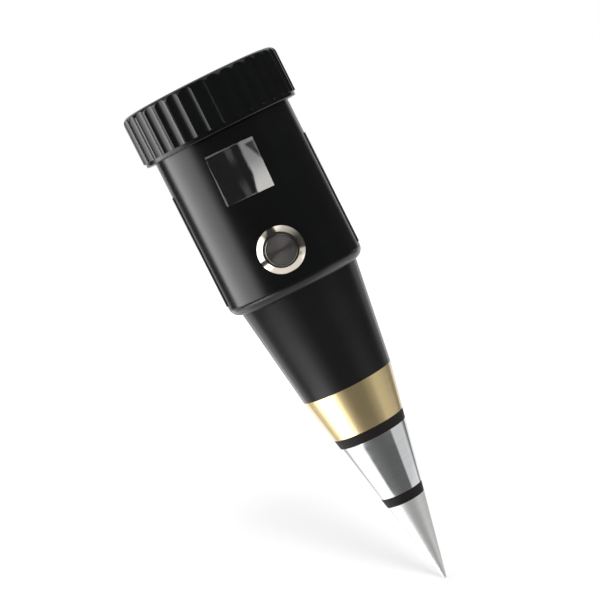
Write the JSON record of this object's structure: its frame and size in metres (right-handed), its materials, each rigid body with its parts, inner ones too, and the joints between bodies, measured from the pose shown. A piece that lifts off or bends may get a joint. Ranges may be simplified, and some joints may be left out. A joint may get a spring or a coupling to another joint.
{
  "type": "soil ph and moisture meter",
  "caption": "Hand-held soil tester: a pointed probe of stacked metal electrodes below a round black body with a push button, and a dial under a clear window in a fluted cap.",
  "frame": {"origin": "tip of the probe", "axes": "+Z along the probe's axis from the tip to the dial, which faces +Z; the push button faces -Y; the dial's scale lies towards +Y; +X to the right as seen from the button's side"},
  "size_m": [0.0498, 0.0498, 0.1658],
  "materials": {
    "black_plastic": "moulded gloss black ABS",
    "dark_plastic": "moulded matte black plastic",
    "case_plastic": "moulded pale grey plastic",
    "ring_plastic": "turned dark insulating plastic",
    "clear_plastic": "clear moulded acrylic",
    "dial_aluminium": "brushed and printed dial sheet",
    "electrode_aluminium": "turned aluminium",
    "former_aluminium": "folded aluminium strip",
    "electrode_brass": "turned brass",
    "brass_fittings": "plain brass",
    "spring_bronze": "rolled bronze strip",
    "copper": "enamelled copper wire",
    "chrome": "polished chrome plate",
    "brushed_steel": "radially brushed steel",
    "steel": "plain plated steel",
    "soft_iron": "soft iron",
    "magnet": "sintered magnet",
    "needle_red": "aluminium painted orange-red",
    "foil": "mirror foil sticker",
    "label_film": "bare dark film label",
    "rubber": "black rubber",
    "nylon": "natural nylon",
    "board_fibre": "phenolic board",
    "resistor_coat": "resistor lacquer",
    "trimmer_blue": "blue plastic",
    "lead_red": "red wire insulation",
    "lead_yellow": "yellow wire insulation",
    "lead_green": "green wire insulation",
    "lead_blue": "blue wire insulation"
  },
  "bodies": {
    "housing": {"bezel_cap": "black_plastic", "lens": "clear_plastic", "dial_plate": "dial_aluminium", "dial_screws": "steel", "meter_case": "case_plastic", "movement_yoke": "soft_iron", "magnet_core": "magnet", "core_spacers": "brass_fittings", "bridge_pillars": "brass_fittings", "top_bridge": "former_aluminium", "bridge_screws": "steel", "jewel_screws": "brass_fittings", "pointer_stops": "steel", "hairsprings": "spring_bronze", "meter_terminals": "brass_fittings", "terminal_nuts": "steel", "circuit_board": "board_fibre", "resistors": "resistor_coat", "trimmer": "trimmer_blue", "body_shell": "black_plastic", "rear_label": "label_film", "front_sticker": "foil", "probe_cone": "black_plastic", "lock_ring": "dark_plastic", "switch_barrel": "chrome", "switch_gasket": "rubber", "switch_nut": "steel", "switch_base": "dark_plastic", "switch_terminals": "brass_fittings", "button_spring": "steel", "brass_electrode": "electrode_brass", "upper_ring": "ring_plastic", "middle_electrode": "electrode_aluminium", "lower_ring": "ring_plastic", "tip_electrode": "electrode_aluminium", "tie_rod": "steel", "rod_sleeve": "nylon", "tie_washer": "steel", "tip_lug": "brass_fittings", "tie_nut": "steel", "middle_lead": "lead_red", "brass_lead": "lead_yellow", "tip_lead": "lead_green", "switch_leads": "lead_blue"},
    "button": {"button_cap": "brushed_steel", "button_plunger": "nylon"},
    "needle": {"pointer": "needle_red", "coil_former": "former_aluminium", "coil_winding": "copper", "pivot_staffs": "steel", "balance_weights": "steel"}
  },
  "joints": [
    {"name": "button_press", "type": "slide", "parent": "housing", "child": "button", "axis": [0, 1, 0], "range_m": [0, 0.0022], "stiffness_N_per_m": 1200, "deforming": ["button_spring"]},
    {"name": "needle_swing", "type": "hinge", "parent": "housing", "child": "needle", "pos_m": [0, -0.0115, 0.1601], "axis": [0, 0, 1], "range_deg": [-12, 60], "stiffness_Nm_per_rad": 0.00001, "deforming": ["hairsprings"]}
  ]
}
